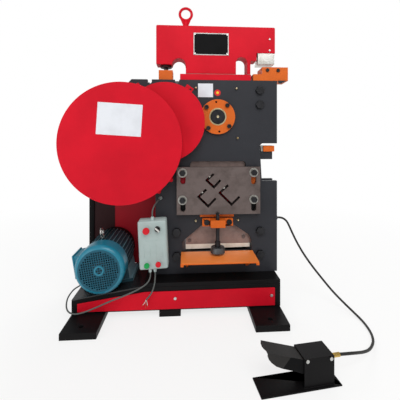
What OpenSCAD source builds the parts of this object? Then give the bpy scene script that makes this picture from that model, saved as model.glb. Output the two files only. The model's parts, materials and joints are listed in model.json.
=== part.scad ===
// Mechanical ironworker: punch, notcher, channel cropper and plate shear on one
// eccentric-driven ram, with its motor, belt and gear drive, control box and foot pedal.
// Millimetres. +X right, +Y to the rear, +Z up. Every module below is drawn about the
// eccentric axis (X = 0), the front plate's face (Y = 0) and the floor (Z = 0); on_floor()
// then moves it so that the part's origin is the middle of the anchor holes.

/* [Frame plates] */
// Thickness of each side plate
plate_t = 20; // [14:1:26]
// Clear gap between the two side plates
plate_gap = 52; // [50:1:60]
// Height of the plates' top edge above the floor
plate_top = 988; // [980:1:1000]
// Right edge of the plates
plate_right = 268; // [262:1:280]
// Left edge of the plates below the drive wing
plate_left = -272; // [-285:1:-262]
// Left edge of the drive wing
wing_left = -480; // [-500:1:-470]

/* [Base] */
// Width of each floor skid
skid_w = 133; // [110:1:150]
// Length of each floor skid
skid_l = 440; // [420:5:520]
// Thickness of each floor skid
skid_t = 25; // [20:1:30]
// Distance between the skids' centre lines
skid_pitch = 720; // [700:5:740]
// Diameter of the anchor holes
anchor_d = 18; // [12:1:22]
// Distance of an anchor hole from the skid's end
anchor_inset = 40; // [30:1:60]
// Height of the machine's top plate above the floor
base_top = 137; // [130:1:142]
// Thickness of the top plate
top_t = 16; // [10:1:20]
// Thickness of the base's beams and ends
beam_t = 12; // [8:1:16]
// Height of the base at its low left end
low_end = 74; // [66:1:80]

/* [Ram] */
// Full stroke of the ram
stroke = 15; // [10:1:15]
// Thickness of the ram
ram_t = 50; // [46:1:50]
// Thickness of the red head
head_t = 70; // [60:1:70]
// Height of the head's top face
head_top = 1234; // [1220:1:1250]
// Diameter of the eye bolt's ring
eye_d = 66; // [50:1:72]
// Diameter of the punch
punch_d = 20; // [12:0.5:24]

/* [Dies and tools] */
// Width of the channel slots
slot_w = 10; // [8:0.5:11]
// Thickness of the channel cropping plate
crop_t = 20; // [12:1:22]
// Depth of the work shelf
shelf_d = 128; // [112:1:170]
// Thickness of the work shelf
shelf_t = 6; // [5:1:12]
// Diameter of the hold-down spindle
spindle_d = 16; // [12:1:20]

/* [Drive] */
// Module of all gears
gear_m = 4; // [4:0.5:4]
// Teeth of the pinion behind the flywheel
z1 = 24; // [22:1:24]
// Teeth of the intermediate gear
z2 = 74; // [72:1:76]
// Teeth of the rear pinion
z3 = 18; // [17:1:19]
// Teeth of the bull gear
z4 = 96; // [94:1:97]
// Diameter of the flywheel
flywheel_d = 460; // [400:5:470]
// Pitch diameter of the motor pulley
pulley_small = 90; // [80:1:100]
// Pitch diameter of the driven pulley
pulley_large = 380; // [360:2:390]
// Diameter of the drive shafts
shaft_d = 40; // [34:1:44]
// Thickness of the sheet-metal covers
sheet_t = 2; // [1.5:0.5:3]

/* [Motor] */
// Diameter of the motor's fan cover
motor_d = 200; // [190:1:200]
// Height of the motor's axis above its feet
motor_h = 102; // [101:1:108]
// Length of the motor from fan cover to drive end
motor_l = 290; // [270:1:294]

/* [Controls] */
// Width of the control box
box_w = 116; // [110:1:124]
// Height of the control box
box_h = 198; // [190:1:205]
// Depth of the control box
box_d = 64; // [56:1:70]
// Width of the pedal's housing
pedal_w = 96; // [80:1:100]
// Height of the pedal's housing
pedal_h = 88; // [80:1:96]
// Diameter of the pedal's pull cable
cable_d = 9; // [7:0.5:11]
// Diameter of the electric leads
lead_d = 6; // [5:0.5:8]

/* [Hidden] */
$fn = 96;

// Places that follow from the sizes above
rear_y = plate_t + plate_gap;
frame_t = rear_y + plate_t;
skid_front = -207;
origin_x = 170;
origin_y = -(skid_front + skid_l / 2);
ram_y0 = plate_t + (plate_gap - ram_t) / 2;
ram_y1 = ram_y0 + ram_t;
head_y1 = ram_y0 + head_t;
ecc = stroke / 2;
axis_z = 825;
journal_d = 64;
ecc_d = 78;
c2 = gear_m * (z3 + z4) / 2;
c1 = gear_m * (z1 + z2) / 2;
a2 = 6.32;
a1 = 27.4;
s2 = [-c2 * cos(a2), axis_z - c2 * sin(a2)];
s1 = s2 + c1 * [-cos(a1), -sin(a1)];
cover_r = 247;
small_r = 168;
front_gear_y = [-44, -16];
rear_gear_y = [frame_t + 14, frame_t + 44];
belt_y = [206, 236];
motor_tilt = 9.2;
motor_x = -485;
motor_front = -100;
seat_gap = 0.3;
fan_rim = 20;
grille_pitch = 9;
platform_x = -310;
platform_z = base_top - top_t;
platform_slope = atan((platform_z - low_end) / (platform_x + 599));
motor_z = low_end + (motor_x + 599) * tan(platform_slope) + 6 / cos(platform_slope)
    + motor_h / cos(platform_slope);
left_ram = -140;
right_ram = 152;
die_x = -229;
die_d = 44;
eye_rise = 30;
eye_t = 12;
die_top = plate_top + 46;
arm_bottom = plate_top + 72;
strip_top = plate_top + 26;
ram_top = plate_top + 32;
low_step = plate_top + 29;
tool_top = plate_top + 61;
step_bottom = plate_top + 94;
right_bottom = plate_top + 129;
guide_top = plate_top - 3;
head_mid_y = ram_y0 + head_t / 2;
crop_y = -28;
table_z = 233;
spindle_x = -3;
spindle_y = -37;
box_x = -273;
box_z = 297;
box_y = -94;
box_tilt = 2.6;
estop_at = [-22, box_h / 2 - 35];
selector_at = [22, box_h / 2 - 33];
start_at = [-26, 23 - box_h / 2];
stop_at = [20, 25 - box_h / 2];
button_hole = 15;
pedal_at = [202, -436];
pedal_turn = 7;
tread_rise = 17;
ferrule_l = 40;
ferrule_z = 62;
base_back = 186;
guard_front = 192;
chute_back = 150;
guard_r = pulley_large / 2 + 22;
gland_l = 14;
lead_y = -78;
lead_box_x = [-16.5, 3];
cable_z = 364;
cover_post_r = cover_r + 5;

// Shared shapes

module on_floor() {
    translate([origin_x, origin_y, 0]) children();
}

module block(x0, x1, y0, y1, z0, z1) {
    translate([x0, y0, z0]) cube([x1 - x0, y1 - y0, z1 - z0]);
}

// A flat shape drawn in X and Z, made solid between two depths
module slab(y0, y1) {
    translate([0, y1, 0]) rotate([90, 0, 0]) linear_extrude(y1 - y0) children();
}

// A round bar along Y
module bar(x, z, y0, y1, d) {
    translate([x, y1, z]) rotate([90, 0, 0]) cylinder(h = y1 - y0, d = d);
}

// A ring along Y
module ring(x, z, y0, y1, d_out, d_in) {
    difference() {
        bar(x, z, y0, y1, d_out);
        bar(x, z, y0 - 1, y1 + 1, d_in);
    }
}

// A hexagon head lying on a face that looks to the front
module hex_head(x, z, y_face, af, h) {
    translate([x, y_face, z]) rotate([90, 0, 0]) cylinder(h = h, d = af / cos(30), $fn = 6);
}

// A socket cap head lying on a face that looks to the front
module cap_head(x, z, y_face, d, h) {
    difference() {
        bar(x, z, y_face - h, y_face, d);
        translate([x, y_face - h / 2, z]) rotate([90, 0, 0]) cylinder(h = h, d = d * 0.55, $fn = 6);
    }
}

// One tooth outline of a gear, about the +X axis
function tooth(r, m, p) = [
    [r - 1.2 * m, -0.30 * p], [r, -0.205 * p], [r + 0.9 * m, -0.09 * p],
    [r + 0.9 * m, 0.09 * p], [r, 0.205 * p], [r - 1.2 * m, 0.30 * p]];

// A flat gear outline with a tooth at the angle start
module gear_outline(z, m, start) {
    r = z * m / 2;
    p = PI * m;
    pts = [for (i = [0:z - 1]) for (q = tooth(r, m, p))
        let (a = start + i * 360 / z) [q[0] * cos(a) - q[1] * sin(a), q[0] * sin(a) + q[1] * cos(a)]];
    polygon(pts);
}

// A tube along a list of points
module tube(pts, d, sides) {
    n = len(pts);
    dirs = [for (i = [0:n - 1]) let (a = pts[max(i - 1, 0)], b = pts[min(i + 1, n - 1)]) (b - a) / norm(b - a)];
    ring_pts = [for (i = [0:n - 1]) let (u0 = cross(dirs[i], abs(dirs[i][0]) < 0.8 ? [1, 0, 0] : [0, 1, 0]),
        u = u0 / norm(u0), v = cross(dirs[i], u)) for (k = [0:sides - 1])
        pts[i] + d / 2 * (u * cos(k * 360 / sides) + v * sin(k * 360 / sides))];
    side = [for (i = [0:n - 2]) for (k = [0:sides - 1]) let (k2 = (k + 1) % sides)
        [i * sides + k, (i + 1) * sides + k, (i + 1) * sides + k2, i * sides + k2]];
    first = [for (k = [0:sides - 1]) k];
    last = [for (k = [sides - 1:-1:0]) (n - 1) * sides + k];
    polyhedron(ring_pts, concat(side, [first], [last]));
}

// A smooth run of points through the given ones
function spline(p, steps) = [for (i = [0:len(p) - 2]) for (j = [0:steps - 1])
    let (a = p[max(i - 1, 0)], b = p[i], c = p[i + 1], d = p[min(i + 2, len(p) - 1)], t = j / steps)
    0.5 * ((2 * b) + (c - a) * t + (2 * a - 5 * b + 4 * c - d) * t * t
        + (3 * b - a - 3 * c + d) * t * t * t), p[len(p) - 1]];

// The three channel-shaped slots, each as its four centre-line corners
function channels() = [
    [[-23, 573], [-50, 549], [-18, 519], [7, 546]],
    [[-55, 506], [-85, 478], [-43, 437], [-14, 467]],
    [[40, 524], [7, 494], [59, 443], [90, 473]]];

// A straight slot between two points with square ends
module stroke_2d(a, b, w) {
    d = b - a;
    translate(a) rotate(atan2(d[1], d[0])) translate([-w / 2, -w / 2]) square([norm(d) + w, w]);
}

module channel_slots(w) {
    for (c = channels()) for (i = [0:2]) stroke_2d(c[i], c[i + 1], w);
}

// The outline that both side plates share
module plate_outline() {
    difference() {
        polygon([[plate_left, base_top], [plate_left, 490], [wing_left, 590], [wing_left, 850],
            [-404, 957], [-375, plate_top], [plate_right, plate_top], [plate_right, 708],
            [200, 708], [190, 698], [199, 541], [plate_right, 541], [plate_right, base_top]]);
        for (x = [-297, -178]) {
            translate([x, plate_top - 9]) circle(d = 18, $fn = 48);
            translate([x - 9, plate_top - 9]) square([18, 20]);
        }
        translate([0, axis_z]) circle(d = journal_d + 12);
        translate(s1) circle(d = shaft_d + 14);
        translate(s2) circle(d = shaft_d + 14);
    }
}

module crop_window() {
    polygon([[-121, 395], [-121, 620], [-112, 629], [118, 629], [127, 620], [127, 395]]);
}

module shear_window() {
    polygon([[-156, 206], [-156, 276], [-68, 349], [73, 347], [138, 304], [152, 280], [152, 206]]);
}

// Base

module skids() {
    color("black") for (x = [-origin_x - skid_pitch / 2, -origin_x + skid_pitch / 2]) difference() {
        block(x - skid_w / 2, x + skid_w / 2, skid_front, skid_front + skid_l, 0, skid_t);
        for (y = [skid_front + anchor_inset, skid_front + skid_l - anchor_inset])
            translate([x, y, -1]) cylinder(h = skid_t + 2, d = anchor_d);
    }
}

module beam_outline() {
    polygon([[-599, skid_t], [258, skid_t], [258, platform_z], [platform_x, platform_z], [-599, low_end]]);
}

module base_frame() {
    color("black") {
        slab(-80, -80 + beam_t) beam_outline();
        slab(base_back - beam_t, base_back) beam_outline();
        block(258 - beam_t, 258, -80, base_back, skid_t, platform_z);
        block(-599, -599 + beam_t, -80, base_back, skid_t, low_end);
        block(-248, -160, -84, -30, 0, skid_t);
    }
}

module top_plate() {
    color("black") block(platform_x, 258, -80, base_back, platform_z, base_top);
}

module motor_plate() {
    color("dimgray") slab(-80, base_back) polygon([[platform_x, platform_z], [platform_x, platform_z + 6],
        [-599, low_end + 6], [-599, low_end]]);
}

module skirt() {
    color("red") slab(-84, -80) polygon([[-575, 31], [233.5, 31], [233.5, 105], [platform_x, 103], [-575, 64]]);
}

// Side plates

module front_plate() {
    color("#2b2b2d") slab(0, plate_t) difference() {
        plate_outline();
        crop_window();
        shear_window();
    }
}

module rear_plate() {
    color("#2b2b2d") slab(rear_y, frame_t) difference() {
        plate_outline();
        crop_window();
        shear_window();
    }
}

module guides() {
    color("gray") {
        block(-200, left_ram - 0.5, plate_t, rear_y, base_top, guide_top);
        block(right_ram + 0.5, 186, plate_t, rear_y, 745, guide_top);
        block(right_ram + 0.5, 186, plate_t, rear_y, base_top, 535);
        block(wing_left, wing_left + 40, plate_t, rear_y, 600, 840);
        block(plate_right - 12, plate_right, plate_t, rear_y, cable_z - 30, cable_z + 30);
        translate([plate_right, frame_t / 2, cable_z]) rotate([0, 90, 0])
            cylinder(h = gland_l, d = cable_d + 9);
    }
}

module cap_strip() {
    color("red") block(-165, 150, 0, plate_t, plate_top, strip_top);
}

module frame_bolts() {
    color("#1a1a1a") {
        for (p = [[189, 944], [189, 880], [190, 319], [190, 216], [-180, 320], [-180, 216]])
            hex_head(p[0], p[1], 0, 34, 13);
        for (a = [50, 140, 230, 320])
            cap_head(65 * cos(a), axis_z + 65 * sin(a), -14, 19, 9);
        for (x = [-49, 49]) cap_head(x, 366, -20, 24, 8);
        for (p = [[224, tool_top - 14], [272, tool_top - 15]]) cap_head(p[0], p[1], 0, 16, 5);
        translate([318, 46, tool_top - 28]) rotate([0, 90, 0]) cylinder(h = 8, d = 18 / cos(30), $fn = 6);
        for (p = [[-183, 75], [218, 74]]) bar(p[0], p[1], -88, -84, 12);
    }
}

module grease_nipples() {
    color("gold") for (p = [[-96, 952], [84, 951], [89, 732], [-96, 369], [91, 370]]) {
        bar(p[0], p[1], -8, 0, 9);
        translate([p[0], -11, p[1]]) sphere(d = 8, $fn = 32);
    }
}

// Dies held by the frame

module die_block() {
    color("orange") difference() {
        block(die_x - 31, die_x + 31, head_mid_y - 34, head_mid_y + 34, plate_top, die_top);
        translate([die_x, head_mid_y, plate_top - 1]) cylinder(h = die_top - plate_top + 2, d = die_d);
    }
}

module die_ring() {
    color("silver") difference() {
        translate([die_x, head_mid_y, plate_top]) cylinder(h = die_top - plate_top, d = die_d);
        translate([die_x, head_mid_y, plate_top - 1]) cylinder(h = die_top - plate_top + 2, d = punch_d + 1.2);
    }
}

module tool_block() {
    color("orange") {
        block(200, 318, 0, frame_t, plate_top, tool_top);
        block(160, 200, 0, frame_t, plate_top, low_step);
    }
}

module notch_seat() {
    color("#2b2b2d") block(186, 252, plate_t, rear_y, 636, 671);
}

module notch_die() {
    color("orange") difference() {
        union() {
            block(209, 259, plate_t - 8, rear_y + 8, 671, 697);
            block(201, 209, plate_t + 4, rear_y - 4, 671, 697);
        }
        translate([236, frame_t / 2, 680]) cylinder(h = 30, d = 24);
    }
}

module channel_plate() {
    color("tan") slab(crop_y, crop_y + crop_t) difference() {
        translate([-179, 401]) square([364, 205]);
        channel_slots(slot_w);
        for (p = [[-152, 584], [156, 581], [-152, 466], [156, 464]]) {
            translate(p) circle(d = 22);
            translate([p[0] - 11, p[1] - 40]) square([22, 40]);
            translate([p[0], p[1] - 40]) circle(d = 22);
        }
    }
}

module channel_spacers() {
    color("orange") for (x = [-172, 138]) difference() {
        block(x, x + 34, crop_y + crop_t, 0, 410, 600);
        for (z = [582, 465]) bar(x + 18, z, -30, 10, 17);
    }
}

module channel_bolts() {
    color("gray") for (p = [[-154, 582], [156, 582], [-154, 465], [156, 465]]) {
        ring(p[0], p[1], crop_y - 3, crop_y, 40, 15);
        bar(p[0], p[1], crop_y - 3, 0, 15);
        hex_head(p[0], p[1], crop_y - 3, 24, 13);
    }
}

module hold_bracket() {
    color("orange") {
        block(-78, 72, -8, 0, 386, 404);
        difference() {
            union() {
                block(-68, 66, -20, 0, 348, 381);
                block(-34, 29, -54, -20, 350, 381);
            }
            translate([spindle_x, spindle_y, 340]) cylinder(h = 50, d = spindle_d + 0.8);
        }
    }
}

module shelf() {
    color("orange") {
        block(-160, 157, -shelf_d, 0, table_z - shelf_t, table_z);
        block(-160, -148, -shelf_d, -shelf_d + 10, table_z - shelf_t - 8, table_z - shelf_t);
        block(145, 157, -shelf_d, -shelf_d + 10, table_z - shelf_t - 8, table_z - shelf_t);
        for (x = [-140, 125]) translate([x, 0, 0]) rotate([90, 0, 90]) linear_extrude(12)
            polygon([[0, table_z - shelf_t], [-110, table_z - shelf_t], [0, 165]]);
    }
}

module lower_blade() {
    color("silver") block(-156, 152, 0, plate_t, 206, 231);
}

module bearing_flange() {
    color("orange") difference() {
        bar(0, axis_z, -14, 0, 153);
        bar(0, axis_z, -15, 1, journal_d + 12);
        for (s = [-1, 1]) bar(-s * 7, axis_z + s * 65, -15, 1, 9);
    }
}

// Plain bearings: a bronze sleeve where each shaft passes a side plate
module bushes() {
    color("tan") {
        ring(0, axis_z, -14, plate_t, journal_d + 12, journal_d + 0.8);
        ring(0, axis_z, rear_y, frame_t + 6, journal_d + 12, journal_d + 0.8);
        for (s = [s1, s2]) for (y = [0, rear_y])
            ring(s[0], s[1], y, y + plate_t, shaft_d + 14, shaft_d + 0.8);
    }
}

// Drive

module belt_outline(grow) {
    hull() {
        translate(s1) circle(r = pulley_large / 2 + grow);
        translate([motor_x, motor_z]) circle(r = pulley_small / 2 + grow);
    }
}

module belts() {
    color("#151515") for (y = [belt_y[0] + 3, belt_y[0] + 17]) slab(y, y + 10) difference() {
        belt_outline(4.5);
        belt_outline(-3.5);
    }
}

// The three flanges that hold two belts on a pulley
module pulley_flanges(x, z, d) {
    for (y = [belt_y[0], belt_y[0] + 14, belt_y[0] + 28]) ring(x, z, y, y + 2, d + 8, d - 9);
}

module pulley(x, z, d, hub) {
    difference() {
        bar(x, z, belt_y[0], belt_y[1], d - 8);
        bar(x, z, belt_y[0] - 1, belt_y[1] + 1, hub);
    }
    pulley_flanges(x, z, d);
}

module driven_pulley() {
    color("dimgray") difference() {
        pulley(s1[0], s1[1], pulley_large, shaft_d);
        ring(s1[0], s1[1], belt_y[0] - 1, belt_y[0] + 8, pulley_large - 60, shaft_d + 50);
        ring(s1[0], s1[1], belt_y[1] - 8, belt_y[1] + 1, pulley_large - 60, shaft_d + 50);
    }
}

module flywheel() {
    color("gray") difference() {
        bar(s1[0], s1[1], -96, -58, flywheel_d);
        bar(s1[0], s1[1], -97, -57, shaft_d);
        ring(s1[0], s1[1], -97, -86, flywheel_d - 80, shaft_d + 60);
        for (a = [0:60:300]) bar(s1[0] + 120 * cos(a), s1[1] + 120 * sin(a), -97, -50, 60);
    }
}

module drive_shaft() {
    color("silver") {
        bar(s1[0], s1[1], -98, belt_y[1] + 6, shaft_d);
        slab(front_gear_y[0] - 2, front_gear_y[1] + 2) translate(s1) gear_outline(z1, gear_m, a1);
    }
}

module gear_shaft() {
    color("silver") {
        bar(s2[0], s2[1], front_gear_y[0], rear_gear_y[1] + 2, shaft_d);
        slab(front_gear_y[0], front_gear_y[1]) translate(s2)
            gear_outline(z2, gear_m, 180 + a1 + 180 / z2);
        slab(rear_gear_y[0], rear_gear_y[1]) translate(s2) gear_outline(z3, gear_m, a2);
    }
}

module bull_gear() {
    color("silver") slab(rear_gear_y[0], rear_gear_y[1]) difference() {
        translate([0, axis_z]) gear_outline(z4, gear_m, 180 + a2 + 180 / z4);
        translate([0, axis_z]) circle(d = journal_d + 0.8);
        for (a = [0:60:300]) translate([115 * cos(a), axis_z + 115 * sin(a)]) circle(d = 60);
    }
}

module eccentric_shaft() {
    color("#333333") {
        difference() {
            bar(0, axis_z, -16, plate_t, journal_d);
            bar(0, axis_z, -17, -10, 9);
        }
        bar(0, axis_z + ecc, plate_t + 1.5, rear_y - 1.5, ecc_d);
        bar(0, axis_z, plate_t - 1, plate_t + 2, journal_d);
        bar(0, axis_z, rear_y - 2, rear_gear_y[1] + 10, journal_d);
    }
}

// A round sheet-metal cover with its open side to the rear
module round_cover(s, r, y0, y1) {
    difference() {
        bar(s[0], s[1], y0, y1, 2 * r);
        bar(s[0], s[1], y0 + sheet_t, y1 + 1, 2 * (r - sheet_t));
    }
}

module flywheel_cover() {
    color("red") {
        round_cover(s1, cover_r, -105, -52);
        for (a = [76, -38, -54])
            bar(s1[0] + cover_post_r * cos(a), s1[1] + cover_post_r * sin(a), -52, 0, 16);
    }
}

module gear_cover() {
    color("red") difference() {
        union() {
            round_cover(s2, small_r, -50, 0);
            slab(-sheet_t, 0) translate([-125, 949]) rotate(-35) square([36, 22], center = true);
        }
        bar(s1[0], s1[1], -60, 1, 118);
        bar(0, axis_z, -48, 1, 180);
        bar(-119, 945, -5, 1, 9);
    }
}

module belt_guard() {
    color("darkred") difference() {
        union() {
            slab(guard_front, guard_front + 58) guard_outline(0);
            for (p = [[-462, 625], [-462, 825], [-300, 560]]) bar(p[0], p[1], frame_t, guard_front + 1, 16);
        }
        slab(guard_front + sheet_t, guard_front + 59) guard_outline(-sheet_t);
        bar(s1[0], s1[1], guard_front - 2, guard_front + 4, 90);
        bar(motor_x, motor_z, guard_front - 2, guard_front + 4, 70);
    }
}

module guard_outline(grow) {
    offset(delta = grow) hull() {
        translate(s1) circle(r = guard_r);
        translate([s1[0] - guard_r, 112]) square([320, 190]);
    }
}

module rear_cover() {
    color("red") difference() {
        union() {
            bar(0, axis_z, frame_t, rear_gear_y[1] + 16, 2 * (gear_m * z4 / 2 + 10));
            bar(s2[0], s2[1], frame_t, rear_gear_y[1] + 16, 130);
        }
        union() {
            bar(0, axis_z, frame_t - 1, rear_gear_y[1] + 16 - sheet_t, 2 * (gear_m * z4 / 2 + 10 - sheet_t));
            bar(s2[0], s2[1], frame_t - 1, rear_gear_y[1] + 16 - sheet_t, 130 - 2 * sheet_t);
        }
        bar(s1[0], s1[1], frame_t - 2, 200, 60);
    }
    color("red") {
        block(-140, 140, chute_back - sheet_t, chute_back, 400, 618);
        for (x = [-140, 140 - sheet_t]) block(x, x + sheet_t, frame_t, chute_back, 400, 618);
    }
}

// Motor, drawn level about its own axis and then set on the sloping plate

module at_motor() {
    translate([motor_x, 0, motor_z]) rotate([0, -motor_tilt, 0]) children();
}

module motor_body() {
    color("teal") at_motor() {
        ring(0, 0, motor_front + 75, motor_front + 250, 178, 150);
        for (a = [0:10:350]) rotate([0, a, 0]) block(-1.5, 1.5, motor_front + 76, motor_front + 249, 85, 97);
        difference() {
            bar(0, 0, motor_front + 250, motor_front + motor_l, 184);
            bar(0, 0, motor_front + 249, motor_front + motor_l - 14, 150);
            bar(0, 0, motor_front + 249, motor_front + motor_l + 1, 31);
        }
        difference() {
            bar(0, 0, motor_front + 67, motor_front + 75, motor_d - 2 * sheet_t - 2 * seat_gap);
            bar(0, 0, motor_front + 66, motor_front + 76, 31);
        }
        for (s = [-1, 1])
            block(s * 80 - 25, s * 80 + 25, motor_front + 90, motor_front + 240, -motor_h, -motor_h + 12);
        for (s = [-1, 1])
            block(s * 78 - 12, s * 78 + 12, motor_front + 95, motor_front + 235, -motor_h + 10, -40);
        block(-97, -80, motor_front + 95, motor_front + 185, -40, 40);
        translate([0, motor_front + 115, 96]) cylinder(h = 14, d = 14);
        translate([0, motor_front + 115, 122]) rotate([0, 90, 0]) rotate_extrude()
            translate([14, 0]) circle(d = 9, $fn = 24);
    }
}

// A round cup along Y with a rounded front rim
module cup(y0, y1, r, rim) {
    translate([0, y0, 0]) rotate([-90, 0, 0]) rotate_extrude() union() {
        square([r - rim, y1 - y0]);
        translate([0, rim]) square([r, y1 - y0 - rim]);
        intersection() {
            translate([r - rim, rim]) circle(r = rim);
            translate([r - rim, 0]) square([rim, rim]);
        }
    }
}

module fan_cover() {
    color("teal") at_motor() difference() {
        cup(motor_front, motor_front + 75, motor_d / 2, fan_rim);
        cup(motor_front + sheet_t, motor_front + 76, motor_d / 2 - sheet_t, fan_rim - sheet_t);
        for (i = [-8:8]) for (k = [-8:8]) let (r = norm([i, k])) if (r < 1.2 || (r > 2.6 && r < 8.3))
            translate([i * grille_pitch, 0, k * grille_pitch])
                block(-3, 3, motor_front - 1, motor_front + 5, -3, 3);
    }
}

module terminal_box() {
    color("teal") at_motor() {
        block(-125, -97, motor_front + 90, motor_front + 190, -45, 45);
        block(-132, -125, motor_front + 86, motor_front + 194, -50, 50);
        translate([-112, motor_front + 130, -45 - gland_l]) cylinder(h = gland_l, d = 16);
    }
}

module motor_rotor() {
    color("silver") {
        at_motor() {
            bar(0, 0, motor_front + 20, belt_y[1] + 6, 28);
            bar(0, 0, motor_front + 100, motor_front + 230, 140);
            bar(0, 0, motor_front + 22, motor_front + 50, 60);
            for (a = [0:60:300]) rotate([0, a, 0]) block(-2, 2, motor_front + 24, motor_front + 48, 20, 88);
            bar(0, 0, belt_y[0], belt_y[1], pulley_small - 8);
            pulley_flanges(0, 0, pulley_small);
        }
    }
}

// Ram, everything that moves up and down

module ram_outline() {
    difference() {
        union() {
            translate([left_ram, 258]) square([right_ram - left_ram, ram_top - 258]);
            translate([right_ram - 1, 702]) square([43, 22]);
        }
        translate([-ecc_d / 2 - ecc - 3, axis_z - ecc_d / 2 + ecc - 3])
            square([ecc_d + 2 * ecc + 6, ecc_d + 6]);
        channel_slots(slot_w + 4);
        translate([86, guide_top]) square([51, ram_top - guide_top + 5]);
    }
}

module ram_plate() {
    color("#8a8078") difference() {
        slab(ram_y0, ram_y1) ram_outline();
        block(-112, 112, ram_y0 - 1, ram_y0 + 12, 412, 600);
    }
}

module ram_head() {
    color("red") slab(ram_y0, head_y1) difference() {
        polygon([[-271, arm_bottom], [-271, head_top - 4], [-267, head_top], [261, head_top], [265, head_top - 4],
            [265, right_bottom], [180, right_bottom], [180, step_bottom], [152, step_bottom], [152, ram_top],
            [left_ram, ram_top], [left_ram, arm_bottom]]);
        translate([-170.5, arm_bottom - 3]) circle(r = 30.5);
        translate([111.5, step_bottom - 10]) circle(r = 25.5);
        translate([86, ram_top - 10]) square([51, step_bottom - ram_top]);
    }
}

module eyebolt() {
    color("red") translate([-140, head_mid_y, head_top]) {
        cylinder(h = eye_rise + eye_t / 2, d = 18);
        cylinder(h = 7, d = 34);
        translate([0, eye_t / 2 - 2, 0]) rotate([90, 0, 0]) linear_extrude(eye_t - 4) difference() {
            polygon([[-9, 5], [9, 5], [eye_d / 2 - 3, eye_rise + eye_d / 2 - 8],
                [3 - eye_d / 2, eye_rise + eye_d / 2 - 8]]);
            translate([0, eye_rise + eye_d / 2]) circle(d = eye_d - 2 * eye_t + 5);
        }
        translate([0, 0, eye_rise + eye_d / 2]) rotate([90, 0, 0])
            rotate_extrude() translate([eye_d / 2 - eye_t / 2, 0]) circle(d = eye_t, $fn = 32);
    }
}

module punch() {
    color("darkred") translate([die_x, head_mid_y, 0]) {
        translate([0, 0, die_top + stroke + 1]) cylinder(h = arm_bottom - die_top - stroke - 1, d = 52);
        translate([0, 0, die_top + 8]) cylinder(h = stroke - 6, d = punch_d);
    }
}

module upper_tool() {
    color("silver") block(186, 262, ram_y0 + 3, head_y1 - 3, tool_top + 17, right_bottom);
}

module upper_blade() {
    color("silver") slab(ram_y0, ram_y0 + 24) polygon([[left_ram, 258], [left_ram, 236],
        [right_ram - 4, 241], [right_ram - 4, 258]]);
}

module channel_blade() {
    color("#8a8078") slab(ram_y0, ram_y0 + 12) difference() {
        translate([-112, 412]) square([224, 188]);
        channel_slots(slot_w + 2);
    }
}

module notch_blade() {
    color("silver") block(right_ram + 42, 199.5, ram_y0 + 4, ram_y1 - 4, 702, 718);
}

// Hold-down

module hold_spindle() {
    color("#1a1a1a") translate([spindle_x, spindle_y, 0]) {
        translate([0, 0, 266]) cylinder(h = 134, d = spindle_d);
        translate([0, 0, 266]) cylinder(h = 22, d = spindle_d + 8);
        translate([0, 0, 399]) cylinder(h = 12, d = spindle_d - 1, $fn = 4);
    }
}

module hold_foot() {
    color("#1a1a1a") translate([spindle_x, spindle_y, 243]) cylinder(h = 22.5, d1 = 64, d2 = 56);
}

// Control box

module at_box() {
    translate([box_x, 0, box_z]) rotate([0, -box_tilt, 0]) children();
}

module control_box() {
    color("#b9bdae") {
        at_box() {
            difference() {
                slab(box_y, box_y + box_d) offset(r = 10) square([box_w - 20, box_h - 20], center = true);
                slab(box_y + 3, box_y + box_d - 3) offset(r = 8)
                    square([box_w - 24, box_h - 24], center = true);
                for (p = [estop_at, selector_at, start_at, stop_at])
                    bar(p[0], p[1], box_y - 1, box_y + 5, button_hole);
            }
            for (x = lead_box_x)
                translate([x, lead_y, -box_h / 2 - gland_l]) cylinder(h = gland_l, d = 16);
            translate([2, lead_y, box_h / 2]) cylinder(h = gland_l, d = 16);
        }
        block(-272, -232, box_y + box_d, 0, 270, 340);
        bar(-250, 470, -gland_l, 0, 16);
    }
}

module box_button(p, d, out) {
    at_box() {
        bar(p[0], p[1], box_y - out, box_y - out + 8, d);
        bar(p[0], p[1], box_y - out, box_y + 20, button_hole - 1);
    }
}

module e_stop() {
    color("red") box_button(estop_at, 28, 20);
}

module start_button() {
    color("green") box_button(start_at, 22, 16);
}

module stop_button() {
    color("red") box_button(stop_at, 22, 16);
}

module selector() {
    color("#1a1a1a") at_box() {
        bar(selector_at[0], selector_at[1], box_y - 8, box_y - 2, 23);
        bar(selector_at[0], selector_at[1], box_y - 3, box_y + 20, button_hole - 1);
        translate([selector_at[0], 0, selector_at[1]]) rotate([0, -45, 0])
            block(-3, 3, box_y - 18, box_y - 7, -11, 11);
    }
}

// Foot pedal, drawn about its housing's middle with the tread to the left

module at_pedal() {
    translate([pedal_at[0], pedal_at[1], 0]) rotate([0, 0, pedal_turn]) children();
}

module pedal_base() {
    color("#151515") at_pedal() {
        block(-135, 117, -42, 34, 0, 4);
        difference() {
            block(0, pedal_w, -34, 33, 4, pedal_h);
            block(-1, pedal_w - 3, -31, 30, 4, pedal_h - 3);
        }
        translate([pedal_w, 0, ferrule_z]) rotate([0, 90, 0]) cylinder(h = ferrule_l, d = cable_d + 4);
        translate([pedal_w, 0, ferrule_z]) rotate([0, 90, 0]) cylinder(h = 6, d = cable_d + 9, $fn = 6);
        for (x = [8, 88]) bar(x, pedal_h - 8, -37, -34, 9);
    }
}

module pedal_tread() {
    color("#262626") at_pedal() {
        translate([10, 0, pedal_h - 22]) rotate([0, tread_rise, 0]) {
            block(-131, -2, -29, 28, 12, 15);
            for (y = [-29, 25.5]) translate([0, y + 2.5, 0]) rotate([90, 0, 0]) linear_extrude(2.5)
                polygon([[-2, 13], [-130, 13], [-129, 6], [-122, -3], [-112, -10], [-94, -18], [-72, -21],
                    [-38, -22], [-20, -24], [8, -26], [8, 8]]);
            translate([0, -30.7, 0]) rotate([-90, 0, 0]) cylinder(h = 60.4, d = 8);
        }
    }
}

// Leads and cable, each along points chosen for its run

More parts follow.
